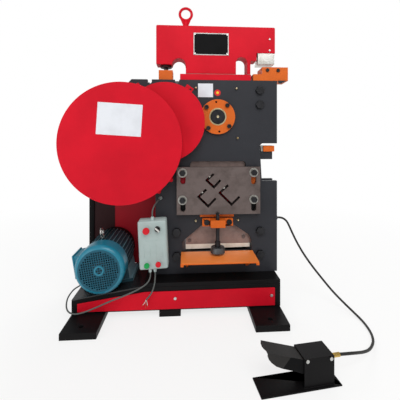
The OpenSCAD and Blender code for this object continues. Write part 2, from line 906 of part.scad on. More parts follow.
// A point given in the tilted frame of the control box
function box_pt(x, y, z) = [box_x + x * cos(box_tilt) - z * sin(box_tilt), y,
    box_z + x * sin(box_tilt) + z * cos(box_tilt)];

// A point given in the tilted frame of the motor
function motor_pt(x, y, z) = [motor_x + x * cos(motor_tilt) - z * sin(motor_tilt), y,
    motor_z + x * sin(motor_tilt) + z * cos(motor_tilt)];

// A point given in the turned frame of the pedal
function pedal_pt(x, y, z) = [pedal_at[0] + x * cos(pedal_turn) - y * sin(pedal_turn),
    pedal_at[1] + x * sin(pedal_turn) + y * cos(pedal_turn), z];

box_end = -box_h / 2 - gland_l;
motor_end = motor_front + 130;
motor_lead_run = [box_pt(lead_box_x[0], lead_y, box_end), box_pt(lead_box_x[0], lead_y, box_end - 12),
    [-286, -79, 158], [-292, -83, 146], [-302, -88, 137], [-317, -94, 129], [-345, -103, 118],
    [-380, -111, 107], [-434, -117, 90], [-490, -120, 68], [-535, -119, 51], [-570, -112, 41],
    [-598, -96, 37], [-618, -74, 38], [-631, -48, 43], [-637, -21, 54], [-634, 4, 64], [-624, 20, 74],
    [-610, 28, 81], [-596, 31, 88], [-587, 31, 99], motor_pt(-112, motor_end, -57 - gland_l),
    motor_pt(-112, motor_end, -45 - gland_l)];
mains_lead_run = [box_pt(lead_box_x[1], lead_y, box_end), box_pt(lead_box_x[1], lead_y, box_end - 14),
    [-265, -81, 155], [-266, -87, 142], [-268, -93, 131], [-272, -98, 119], [-278, -101, 107],
    [-287, -102, 95], [-298, -101, 82]];
control_lead_run = [box_pt(2, lead_y, box_h / 2 + gland_l), box_pt(2, lead_y, box_h / 2 + gland_l + 10),
    [-276, -76, 433], [-272, -69, 446], [-266, -58, 457], [-259, -44, 465], [-252, -28, 469],
    [-250, -gland_l, 470]];
pedal_cable_run = [[plate_right + gland_l, frame_t / 2, cable_z],
    [plate_right + gland_l + 10, frame_t / 2, cable_z],
    [304, 45, 362], [316, 43, 356], [326, 40, 346], [333, 36, 332], [345, 31, 304], [362, 25, 266],
    [384, 17, 224], [408, 8, 185], [436, -4, 145], [466, -20, 106], [496, -42, 68], [520, -66, 42],
    [540, -96, 23], [553, -132, 12], [558, -175, 8], [554, -220, 7], [544, -258, 7], [526, -294, 9],
    [500, -326, 14], [472, -353, 22], [440, -378, 35], [408, -398, 48], [380, -411, 57],
    pedal_pt(pedal_w + ferrule_l + 14, 0, ferrule_z - 1),
    pedal_pt(pedal_w + ferrule_l, 0, ferrule_z)];

module motor_lead() {
    color("#3a3a3a") tube(spline(motor_lead_run, 2), lead_d, 10);
}

module mains_lead() {
    color("#3a3a3a") tube(spline(mains_lead_run, 2), lead_d, 10);
}

module control_lead() {
    color("#5a6058") tube(spline(control_lead_run, 2), lead_d, 10);
}

module pedal_cable() {
    color("#262626") tube(spline(pedal_cable_run, 2), cable_d, 10);
}

on_floor() {
    skids();
    base_frame();
    top_plate();
    motor_plate();
    skirt();
    front_plate();
    rear_plate();
    guides();
    cap_strip();
    frame_bolts();
    grease_nipples();
    die_block();
    die_ring();
    tool_block();
    notch_seat();
    notch_die();
    channel_plate();
    channel_spacers();
    channel_bolts();
    hold_bracket();
    shelf();
    lower_blade();
    bearing_flange();
    bushes();
    belts();
    flywheel_cover();
    gear_cover();
    belt_guard();
    rear_cover();
    motor_body();
    fan_cover();
    terminal_box();
    control_box();
    pedal_base();
    motor_lead();
    mains_lead();
    control_lead();
    pedal_cable();
    ram_plate();
    ram_head();
    eyebolt();
    punch();
    upper_tool();
    upper_blade();
    channel_blade();
    notch_blade();
    hold_spindle();
    hold_foot();
    eccentric_shaft();
    bull_gear();
    flywheel();
    drive_shaft();
    driven_pulley();
    gear_shaft();
    motor_rotor();
    e_stop();
    selector();
    start_button();
    stop_button();
    pedal_tread();
}
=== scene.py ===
"""Looks of a mechanical ironworker, dressed over its solids.

Run as a script. Lengths are metres in the part's own frame unless a name says mm.
"""

import json
import math

import bpy
from mathutils import Matrix, Vector

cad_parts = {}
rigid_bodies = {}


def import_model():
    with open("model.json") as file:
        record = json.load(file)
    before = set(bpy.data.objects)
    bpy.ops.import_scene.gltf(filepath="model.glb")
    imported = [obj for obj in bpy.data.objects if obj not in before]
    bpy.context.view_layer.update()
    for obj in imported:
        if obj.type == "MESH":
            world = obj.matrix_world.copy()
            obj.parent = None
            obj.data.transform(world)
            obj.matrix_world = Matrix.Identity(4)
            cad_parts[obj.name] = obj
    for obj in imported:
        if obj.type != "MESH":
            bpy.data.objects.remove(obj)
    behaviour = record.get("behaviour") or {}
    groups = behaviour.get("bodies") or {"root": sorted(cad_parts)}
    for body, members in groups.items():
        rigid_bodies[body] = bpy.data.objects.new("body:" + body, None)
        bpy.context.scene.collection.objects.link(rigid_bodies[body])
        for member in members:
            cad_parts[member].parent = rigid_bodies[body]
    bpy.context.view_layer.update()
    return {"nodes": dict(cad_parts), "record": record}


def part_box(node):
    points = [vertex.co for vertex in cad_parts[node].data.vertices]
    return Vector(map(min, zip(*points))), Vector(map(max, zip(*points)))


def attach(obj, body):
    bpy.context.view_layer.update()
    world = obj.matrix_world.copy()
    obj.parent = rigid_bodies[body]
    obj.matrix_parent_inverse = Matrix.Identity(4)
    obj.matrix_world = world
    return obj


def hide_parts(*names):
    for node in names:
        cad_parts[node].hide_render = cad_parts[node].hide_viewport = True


bl_info = {
    "name": "Ironworker Looks",
    "version": (1, 0, 0),
    "blender": (4, 5, 0),
    "location": "View3D > Sidebar > Ironworker",
    "description": "Paint, plates, leads and stage of a mechanical ironworker",
    "category": "Object",
}

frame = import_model()
BODY_OF = {n: b for b, nodes in frame["record"]["behaviour"]["bodies"].items() for n in nodes}

# Where the eccentric axis and the plate's face lie in the part's frame, in mm
ORIGIN = (170, -13)

# Middles and tilts of the pieces that don't stand square, in mm and degrees
BOX_AT = (-273, 297)
BOX_TILT = 2.6
MOTOR_AT = (-485, 201.96)
MOTOR_TILT = 9.2
PEDAL_AT = (202, -436)
PEDAL_TURN = 7

# Height of the eccentric shaft and front of the flywheel cover, in mm
AXIS_Z = 825
COVER_FACE = -105

FRONT = Vector((0, -1, 0))
WHITE = (1, 1, 1, 1)


# Places

def at(x, y, z):
    """A point given in mm about the eccentric axis, the plate's face and the floor."""
    return Vector(((x + ORIGIN[0]) / 1000, (y + ORIGIN[1]) / 1000, z / 1000))


def turned(x, y, degrees, middle):
    """A pair of lengths turned by an angle and moved to its middle."""
    c, s = math.cos(math.radians(degrees)), math.sin(math.radians(degrees))
    return middle[0] + x * c - y * s, middle[1] + x * s + y * c


def box_point(x, y, z):
    """A point in the tilted frame of the control box, in mm."""
    across, up = turned(x, z, BOX_TILT, BOX_AT)
    return at(across, y, up)


def motor_point(x, y, z):
    """A point in the tilted frame of the motor, in mm."""
    across, up = turned(x, z, MOTOR_TILT, MOTOR_AT)
    return at(across, y, up)


def pedal_point(x, y, z):
    """A point in the turned frame of the pedal, in mm."""
    across, back = turned(x, y, PEDAL_TURN, PEDAL_AT)
    return at(across, back, z)


def linear(code):
    """An sRGB hex colour as linear RGBA."""
    parts = [int(code[i:i + 2], 16) / 255 for i in (0, 2, 4)]
    return tuple(v / 12.92 if v <= 0.04045 else ((v + 0.055) / 1.055) ** 2.4 for v in parts) + (1.0,)


# Settings that a user would change

def paint_setting(name, description, code):
    return bpy.props.FloatVectorProperty(name=name, description=description, subtype="COLOR", size=4, min=0,
                                         max=1, default=linear(code))


def size_setting(name, description, default):
    return bpy.props.FloatProperty(name=name, description=description, default=default, unit="LENGTH")


class IronworkerPaint(bpy.types.PropertyGroup):
    """Colours of the machine's finishes."""

    red: paint_setting("Red", "Enamel of the head, covers and skirt", "d01026")
    charcoal: paint_setting("Charcoal", "Enamel of the side plates", "303136")
    orange: paint_setting("Orange", "Enamel of the dies and fittings", "d8661f")
    black: paint_setting("Black", "Enamel of the base and pedal", "131213")
    teal: paint_setting("Teal", "Enamel of the motor", "1f7e97")
    box: paint_setting("Box", "Moulded plastic of the control box", "a9b8b6")
    plate: paint_setting("Plate steel", "Rolled steel of the cropping plate", "6c605d")


class IronworkerSizes(bpy.types.PropertyGroup):
    """Sizes of the dressed pieces."""

    edge: size_setting("Edge", "Rounding of plate edges", 0.0012)
    lead: size_setting("Lead", "Diameter of the electric leads", 0.006)
    cable: size_setting("Cable", "Diameter of the pedal's cable", 0.009)
    label: size_setting("Label", "Thickness of a bare label", 0.0006)


# Finishes, each by its own kind's values. A colour is a hex code or the name of a paint setting.

ENAMELS = {
    "red_enamel": {"code": "red", "roughness": 0.5, "edge_tone": 1.25, "shine": 0.12},
    "charcoal_enamel": {"code": "charcoal", "roughness": 0.45, "edge_tone": 2.0},
    "orange_enamel": {"code": "orange", "roughness": 0.45, "edge_tone": 1.35},
    "black_enamel": {"code": "black", "roughness": 0.45, "edge_tone": 2.5, "shine": 0.1},
    "gloss_black_enamel": {"code": "1d1d1e", "roughness": 0.25, "edge_tone": 2.0, "shine": 0.6},
    "tread_enamel": {"code": "201e1d", "roughness": 0.4, "edge_tone": 2.0, "shine": 0.25},
    "teal_enamel": {"code": "teal", "roughness": 0.27, "peel_mm": 3, "shine": 0.45},
    # A darker teal as painted shade on the fan grille's front faces
    "dark_grille_enamel": {"code": "17566a", "roughness": 0.35, "peel_mm": 3, "shine": 0.3},
    "dark_teal_enamel": {"code": "25434d", "roughness": 0.45, "edge_tone": 1.6, "peel_mm": 3},
    # A darker copy of the red as painted shade, on the belt guard and one spacer
    "guard_enamel": {"code": "b01526", "roughness": 0.5, "edge_tone": 1.25},
    # A deep red as painted shade, on the belt guard's left part and the punch's top
    "dark_guard_enamel": {"code": "300b0f", "roughness": 0.5, "edge_tone": 1.25},
    # A brighter orange as painted light on the shelf's top
    "shelf_enamel": {"code": "ff8e3f", "roughness": 0.3, "edge_tone": 1.2, "shine": 0.5},
    # A pale teal as a painted highlight on the motor's fin tips
    "fin_enamel": {"code": "5d7f89", "roughness": 0.3, "edge_tone": 1.4, "peel_mm": 3, "shine": 0.5},
}

ROLLED = {"roughness": 0.5, "grain": (8, 300, 90), "stain_mm": 60}
METALS = {
    "ram_steel": {"code": "94807a", "stain": "6d5c56", "metallic": 0.4, **ROLLED},
    "rolled_steel": {"code": "plate", "stain": "4d423e", "metallic": 0.55, **ROLLED},
    "ground_steel": {"code": "c9c8c2", "stain": "9d978c", "roughness": 0.3, "grain": (5, 500, 500)},
    "blade_steel": {"code": "f0ece0", "stain": "d5ccbb", "roughness": 0.45, "grain": (5, 500, 500),
                    "metallic": 0.2},
    # Also painted shade on the lower shear blade
    "black_oxide_steel": {"code": "3a3a3c", "stain": "242425", "roughness": 0.4, "grain": (60, 60, 60)},
    "oiled_steel": {"code": "5b5e60", "stain": "333436", "roughness": 0.35, "grain": (60, 60, 60),
                    "metallic": 0.7},
    "cast_iron": {"code": "6e6e70", "stain": "4c4948", "roughness": 0.55, "grain": (90, 90, 90)},
    "zinc_plate": {"code": "cfd0ce", "stain": "a8a8a2", "roughness": 0.3, "grain": (80, 80, 80)},
    # A darker zinc as painted shade on the channel bolts' washers
    "dull_zinc_plate": {"code": "a5a39d", "stain": "827f79", "roughness": 0.35, "grain": (80, 80, 80)},
    "satin_aluminium": {"code": "b4b5b3", "stain": "93938f", "roughness": 0.5, "grain": (4, 500, 500),
                        "metallic": 0.8},
    "turned_bronze": {"code": "d9cba6", "stain": "a98f5c", "roughness": 0.3, "grain": (200, 20, 200)},
    "turned_brass": {"code": "d8b76a", "stain": "a5843c", "roughness": 0.28, "grain": (200, 40, 200)},
    "copper_wire": {"code": "c77a4e", "stain": "8f5130", "roughness": 0.3, "grain": (300, 300, 300)},
}

FILM = {"grain_mm": 6, "depth": 0.04}
MOULDINGS = {
    "box_plastic": {"code": "box", "roughness": 0.42},
    "red_button": {"code": "cf1626", "roughness": 0.25},
    "green_button": {"code": "16964a", "roughness": 0.25},
    "black_plastic": {"code": "1b1b1c", "roughness": 0.4},
    "grey_lead": {"code": "5a5d5b", "roughness": 0.5, "grain_mm": 1.5},
    "black_cable": {"code": "2b2a28", "roughness": 0.45, "grain_mm": 1.5},
    "belt_rubber": {"code": "202020", "roughness": 0.7},
    "white_film": {"code": "dfe2e8", "roughness": 0.35, **FILM},
    "yellow_film": {"code": "e8c62f", "roughness": 0.35, **FILM},
    "red_film": {"code": "d42a2a", "roughness": 0.35, **FILM},
    # Black print on the head plate, and painted shade in the fan's holes and at the tread's corner
    "black_film": {"code": "0e0e0f", "roughness": 0.6, "shine": 0.1, **FILM},
    "white_core": {"code": "d6d4cf", "roughness": 0.4},
    "brown_core": {"code": "7a4a35", "roughness": 0.4},
}


def tint(code):
    """A colour by its hex code or by the name of its paint setting."""
    if code in IronworkerPaint.__annotations__:
        return tuple(getattr(bpy.context.scene.ironworker_paint, code))
    return linear(code)


def toned(colour, factor, lift=0.0):
    """A colour made darker or paler."""
    return tuple(min(1, c * factor + lift) for c in colour[:3]) + (1.0,)


def add(tree, kind, links=None, **settings):
    """Adds one node with its settings, and its inputs as values or links."""
    made = tree.nodes.new(kind)
    for key, value in settings.items():
        setattr(made, key, value)
    for key, value in (links or {}).items():
        if isinstance(value, bpy.types.NodeSocket):
            tree.links.new(value, made.inputs[key])
        else:
            made.inputs[key].default_value = value
    return made


def new_finish(name):
    made = bpy.data.materials.new(name)
    made.use_nodes = True
    made.node_tree.nodes.clear()
    return made, made.node_tree


def enamel(name, code, roughness, edge_tone=1.5, peel_mm=5, shine=0.2):
    """Sprayed enamel on steel: a colour that drifts a little, orange peel, and edges lightened both for thin
    paint and as a painted highlight.
    """
    made, tree = new_finish(name)
    colour = tint(code)
    where = add(tree, "ShaderNodeTexCoord").outputs["Object"]
    deep = toned(colour, 0.86)
    pale = toned(colour, edge_tone, 0.006)
    # Tone drifts over about 160 mm
    drift = add(tree, "ShaderNodeTexNoise", {"Vector": where, "Scale": 1 / 0.16, "Detail": 4.0})
    tone = add(tree, "ShaderNodeMapRange", {"Value": drift.outputs[0], "From Min": 0.35, "From Max": 0.65})
    coat = add(tree, "ShaderNodeMix", {0: tone.outputs[0], 6: colour, 7: deep}, data_type="RGBA")
    # Dust and rubs are about 4 mm, coarser than real so that they show
    rub = add(tree, "ShaderNodeTexNoise", {"Vector": where, "Scale": 1 / 0.004, "Detail": 3.0})
    dust = add(tree, "ShaderNodeMapRange", {"Value": rub.outputs[0], "From Min": 0.6, "From Max": 0.8,
                                            "To Max": 0.25})
    dusty = add(tree, "ShaderNodeMix", {0: dust.outputs[0], 6: coat.outputs[2], 7: pale}, data_type="RGBA")
    # Paint thins over an edge 2 mm wide, and the lighter edge is also a painted highlight
    bevel = add(tree, "ShaderNodeBevel", {"Radius": 0.002}, samples=4)
    face = add(tree, "ShaderNodeNewGeometry").outputs["Normal"]
    turn = add(tree, "ShaderNodeVectorMath", {0: bevel.outputs[0], 1: face}, operation="DOT_PRODUCT")
    rim = add(tree, "ShaderNodeMapRange", {"Value": turn.outputs["Value"], "From Min": 0.88, "From Max": 0.99,
                                           "To Min": 0.7, "To Max": 0.0})
    thin_paint_and_highlight = add(tree, "ShaderNodeMath", {0: rim.outputs[0], 1: rub.outputs[0]}, operation="MULTIPLY")
    final = add(tree, "ShaderNodeMix", {0: thin_paint_and_highlight.outputs[0], 6: dusty.outputs[2], 7: pale}, data_type="RGBA")
    gloss = add(tree, "ShaderNodeMapRange", {"Value": drift.outputs[0], "To Min": roughness - 0.07,
                                             "To Max": roughness + 0.09})
    peel = add(tree, "ShaderNodeTexNoise", {"Vector": where, "Scale": 1000 / peel_mm, "Detail": 1.0})
    bump = add(tree, "ShaderNodeBump", {"Height": peel.outputs[0], "Strength": 0.1, "Distance": 0.0004})
    skin = add(tree, "ShaderNodeBsdfPrincipled", {
        "Base Color": final.outputs[2], "Roughness": gloss.outputs[0], "Normal": bump.outputs[0], "IOR": 1.5,
        "Specular IOR Level": shine})
    add(tree, "ShaderNodeOutputMaterial", {"Surface": skin.outputs[0]})
    return made


def metal(name, code, stain, roughness, grain, metallic=1.0, stain_mm=40):
    """Bare metal: tool marks drawn out along one way, with oil or scale in patches."""
    made, tree = new_finish(name)
    colour = tint(code)
    where = add(tree, "ShaderNodeTexCoord").outputs["Object"]
    along = add(tree, "ShaderNodeMapping", {"Vector": where, "Scale": grain})
    marks = add(tree, "ShaderNodeTexNoise", {"Vector": along.outputs[0], "Scale": 1.0, "Detail": 3.0})
    patch = add(tree, "ShaderNodeTexNoise", {"Vector": where, "Scale": 1000 / stain_mm, "Detail": 6.0,
                                             "Roughness": 0.65})
    share = add(tree, "ShaderNodeMapRange", {"Value": patch.outputs[0], "From Min": 0.42, "From Max": 0.68,
                                             "To Max": 0.8})
    base = add(tree, "ShaderNodeMix", {0: share.outputs[0], 6: colour, 7: linear(stain)}, data_type="RGBA")
    rough = add(tree, "ShaderNodeMapRange", {"Value": marks.outputs[0], "To Min": roughness - 0.12,
                                             "To Max": roughness + 0.14})
    bump = add(tree, "ShaderNodeBump", {"Height": marks.outputs[0], "Strength": 0.12, "Distance": 0.0003})
    skin = add(tree, "ShaderNodeBsdfPrincipled", {
        "Base Color": base.outputs[2], "Roughness": rough.outputs[0], "Normal": bump.outputs[0],
        "Metallic": metallic})
    add(tree, "ShaderNodeOutputMaterial", {"Surface": skin.outputs[0]})
    return made


def moulded(name, code, roughness, grain_mm=2.5, depth=0.12, shine=0.3):
    """Moulded plastic or rubber: one colour through, with a fine cast grain and a little grime."""
    made, tree = new_finish(name)
    colour = tint(code)
    where = add(tree, "ShaderNodeTexCoord").outputs["Object"]
    grime = add(tree, "ShaderNodeTexNoise", {"Vector": where, "Scale": 1 / 0.05, "Detail": 5.0})
    share = add(tree, "ShaderNodeMapRange", {"Value": grime.outputs[0], "From Min": 0.4, "From Max": 0.75,
                                             "To Max": 0.5})
    dull = toned(colour, 0.78)
    base = add(tree, "ShaderNodeMix", {0: share.outputs[0], 6: colour, 7: dull}, data_type="RGBA")
    rough = add(tree, "ShaderNodeMapRange", {"Value": grime.outputs[0], "To Min": roughness - 0.06,
                                             "To Max": roughness + 0.1})
    grain = add(tree, "ShaderNodeTexNoise", {"Vector": where, "Scale": 1000 / grain_mm, "Detail": 2.0})
    bump = add(tree, "ShaderNodeBump", {"Height": grain.outputs[0], "Strength": depth, "Distance": 0.0003})
    skin = add(tree, "ShaderNodeBsdfPrincipled", {
        "Base Color": base.outputs[2], "Roughness": rough.outputs[0], "Normal": bump.outputs[0], "IOR": 1.46,
        "Specular IOR Level": shine})
    add(tree, "ShaderNodeOutputMaterial", {"Surface": skin.outputs[0]})
    return made


def finish(name):
    """A finish by name, made on first use."""
    if name in bpy.data.materials:
        return bpy.data.materials[name]
    for kind, table in ((enamel, ENAMELS), (metal, METALS), (moulded, MOULDINGS)):
        if name in table:
            return kind(name, **table[name])
    raise ValueError("no finish called " + name)


# Modelling by hand

def only(obj):
    bpy.ops.object.select_all(action="DESELECT")
    obj.select_set(True)
    bpy.context.view_layer.objects.active = obj


def pick(obj, test):
    """Enters edit mode with the faces that pass the test selected."""
    only(obj)
    for group in (obj.data.vertices, obj.data.edges, obj.data.polygons):
        for part in group:
            part.select = False
    for face in obj.data.polygons:
        face.select = test(face)
    bpy.context.tool_settings.mesh_select_mode = (False, False, True)
    bpy.ops.object.mode_set(mode="EDIT")


def done_editing():
    bpy.ops.object.mode_set(mode="OBJECT")


def cut_across(obj, place, way):
    """Cuts every face that crosses a plane, and keeps both sides."""
    pick(obj, lambda f: True)
    bpy.ops.mesh.bisect(plane_co=place, plane_no=way)
    done_editing()


def round_edges(obj, width, segments=2):
    """Rounds the edges that turn by more than 35 degrees."""
    only(obj)
    bevel = obj.modifiers.new("edges", "BEVEL")
    bevel.width = width
    bevel.segments = segments
    bevel.limit_method = "ANGLE"
    bevel.angle_limit = math.radians(35)
    bevel.use_clamp_overlap = False
    bpy.ops.object.modifier_apply(modifier=bevel.name)


def settle(obj, look, body):
    """Smooths, paints and seats a finished piece on its body."""
    only(obj)
    bpy.ops.object.shade_smooth_by_angle(angle=math.radians(32))
    obj.data.materials.clear()
    obj.data.materials.append(finish(look))
    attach(obj, body)


def paint_faces(obj, look, test):
    """Gives some of a piece's faces a second finish."""
    obj.data.materials.append(finish(look))
    index = len(obj.data.materials) - 1
    for face in obj.data.polygons:
        if test(face):
            face.material_index = index


def dressed(node, look, edge=None):
    """A copy of a solid with rounded edges and its finish, which stands for that solid."""
    width = bpy.context.scene.ironworker_sizes.edge if edge is None else edge
    only(frame["nodes"][node])
    bpy.ops.object.duplicate()
    piece = bpy.context.active_object
    piece.name = node + "_finished"
    bpy.ops.object.parent_clear(type="CLEAR_KEEP_TRANSFORM")
    bpy.ops.object.mode_set(mode="EDIT")
    bpy.ops.mesh.select_all(action="SELECT")
    bpy.ops.mesh.remove_doubles(threshold=0.00001)
    bpy.ops.mesh.dissolve_limited(angle_limit=math.radians(0.5))
    done_editing()
    if width:
        round_edges(piece, width)
    settle(piece, look, BODY_OF[node])
    if width:
        even = piece.modifiers.new("even", "WEIGHTED_NORMAL")
        even.keep_sharp = True
        bpy.ops.object.modifier_apply(modifier=even.name)
    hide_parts(node)
    return piece


def cuboid(name, low, high):
    bpy.ops.object.select_all(action="DESELECT")
    bpy.ops.mesh.primitive_cube_add(size=1, location=(low + high) / 2, scale=high - low)
    obj = bpy.context.active_object
    obj.name = name
    bpy.ops.object.transform_apply(location=True, rotation=True, scale=True)
    return obj


def disc(name, centre, way, diameter, height, sides=32):
    """A cylinder that stands on centre and points along way."""
    way = Vector(way).normalized()
    bpy.ops.object.select_all(action="DESELECT")
    bpy.ops.mesh.primitive_cylinder_add(vertices=sides, radius=diameter / 2, depth=height,
                                        location=centre + way * height / 2,
                                        rotation=way.to_track_quat("Z", "Y").to_euler())
    obj = bpy.context.active_object
    obj.name = name
    bpy.ops.object.transform_apply(location=True, rotation=True, scale=True)
    return obj


def socket_screw(name, centre, way, diameter, height):
    """A round screw head with a socket sunk in its face."""
    way = Vector(way).normalized()
    head = disc(name, centre, way, diameter, height)
    pick(head, lambda f: f.normal.dot(way) > 0.9)
    bpy.ops.mesh.inset(thickness=diameter * 0.24)
    bpy.ops.mesh.extrude_region_move(TRANSFORM_OT_translate={"value": way * (-0.45 * height)})
    done_editing()
    round_edges(head, diameter * 0.05)
    return head


def joined(name, parts):
    bpy.ops.object.select_all(action="DESELECT")
    for part in parts:
        part.select_set(True)
    bpy.context.view_layer.objects.active = parts[0]
    bpy.ops.object.join()
    parts[0].name = name
    return parts[0]


def framed_plate(name, low, high, border, sink):
    """A thin plate that faces the front, with a raised border round a sunk field."""
    plate = cuboid(name, low, high)
    pick(plate, lambda f: f.normal.y < -0.9)
    bpy.ops.mesh.inset(thickness=border)
    bpy.ops.mesh.extrude_region_move(TRANSFORM_OT_translate={"value": (0, sink, 0)})
    done_editing()
    return plate


def smooth_run(points, steps=3):
    """Points along one smooth curve through the given ones."""
    run = []
    for i in range(len(points) - 1):
        a, b = points[max(i - 1, 0)], points[i]
        c, d = points[i + 1], points[min(i + 2, len(points) - 1)]
        for j in range(steps):
            t = j / steps
            run.append(0.5 * (2 * b + (c - a) * t + (2 * a - 5 * b + 4 * c - d) * t * t
                              + (3 * b - a - 3 * c + d) * t ** 3))
    return run + [points[-1]]


def cord_curve(name, points, diameter, look):
    """A round cord along the points, and its length."""
    curve = bpy.data.curves.new(name, "CURVE")
    curve.dimensions = "3D"
    curve.bevel_depth = diameter / 2
    curve.bevel_resolution = 5
    curve.use_fill_caps = True
    line = curve.splines.new("POLY")
    line.points.add(len(points) - 1)
    line.use_smooth = True
    for place, point in zip(line.points, points):
        place.co = (*point, 1)
    curve.materials.append(finish(look))
    obj = bpy.data.objects.new(name, curve)
    bpy.context.collection.objects.link(obj)
    length = sum((b - a).length for a, b in zip(points, points[1:]))
    return obj, length


# Stage

def floor_finish():
    """A pale floor that shades near the machine and fades to white further off."""
    made, tree = new_finish("pale_floor")
    rays = add(tree, "ShaderNodeLightPath")
    seen = add(tree, "ShaderNodeMath", {0: rays.outputs["Is Camera Ray"], 1: rays.outputs["Is Glossy Ray"]},
               operation="MAXIMUM")
    where = add(tree, "ShaderNodeTexCoord").outputs["Object"]
    away = add(tree, "ShaderNodeVectorMath", {0: where}, operation="LENGTH")
    pale = add(tree, "ShaderNodeMapRange", {"Value": away.outputs["Value"], "From Min": 0.6, "From Max": 2.4,
                                            "To Min": 0.75, "To Max": 1.0})
    share = add(tree, "ShaderNodeMath", {0: seen.outputs[0], 1: pale.outputs[0]}, operation="MULTIPLY")
    matt = add(tree, "ShaderNodeBsdfDiffuse", {"Color": linear("f4f4f2")})
    glow = add(tree, "ShaderNodeEmission", {"Color": WHITE, "Strength": 1.0})
    both = add(tree, "ShaderNodeMixShader", {0: share.outputs[0], 1: matt.outputs[0], 2: glow.outputs[0]})
    add(tree, "ShaderNodeOutputMaterial", {"Surface": both.outputs[0]})
    return made


def studio_world():
    """White to the camera, and a softer light on the machine."""
    world = bpy.data.worlds.new("studio")
    world.use_nodes = True
    tree = world.node_tree
    tree.nodes.clear()
    rays = add(tree, "ShaderNodeLightPath")
    light = add(tree, "ShaderNodeBackground", {"Color": WHITE, "Strength": 0.45})
    white = add(tree, "ShaderNodeBackground", {"Color": WHITE, "Strength": 1.0})
    both = add(tree, "ShaderNodeMixShader", {0: rays.outputs["Is Camera Ray"], 1: light.outputs[0],
                                             2: white.outputs[0]})
    add(tree, "ShaderNodeOutputWorld", {"Surface": both.outputs[0]})
    return world


# Operators

class IRONWORKER_OT_stage(bpy.types.Operator):
    """Pale floor, soft light and the camera"""

    bl_idname = "ironworker.stage"
    bl_label = "Stage"

    def execute(self, context):
        scene = context.scene
        scene.view_settings.view_transform = "Standard"
        bpy.ops.object.select_all(action="DESELECT")
        bpy.ops.mesh.primitive_plane_add(size=30, location=(0, 0, -0.0005))
        floor = context.active_object
        floor.name = "floor"
        floor.data.materials.append(floor_finish())
        scene.world = studio_world()
        for name, place, aim, size, watts in (
                ("key", (0.5, -2.5, 3.0), (0, 0, 0.6), 2.2, 66),
                ("fill", (-2.2, -2.2, 1.2), (0, 0, 0.5), 2.0, 20),
                ("rear", (0.5, 2.4, 2.6), (0, 0, 0.7), 2.0, 40)):
            bpy.ops.object.light_add(type="AREA", location=place)
            lamp = context.active_object
            lamp.name = name
            lamp.data.size = size
            lamp.data.energy = watts
            lamp.rotation_euler = (Vector(aim) - Vector(place)).to_track_quat("-Z", "Y").to_euler()
        level = (math.radians(90), 0, math.radians(-3.74))
        bpy.ops.object.camera_add(location=(0.0354, -1.333, 0.732), rotation=level)
        camera = context.active_object
        camera.data.sensor_width = 36
        camera.data.lens = 27
        camera.data.shift_x = -0.0165
        camera.data.shift_y = -0.155
        scene.camera = camera
        return {"FINISHED"}


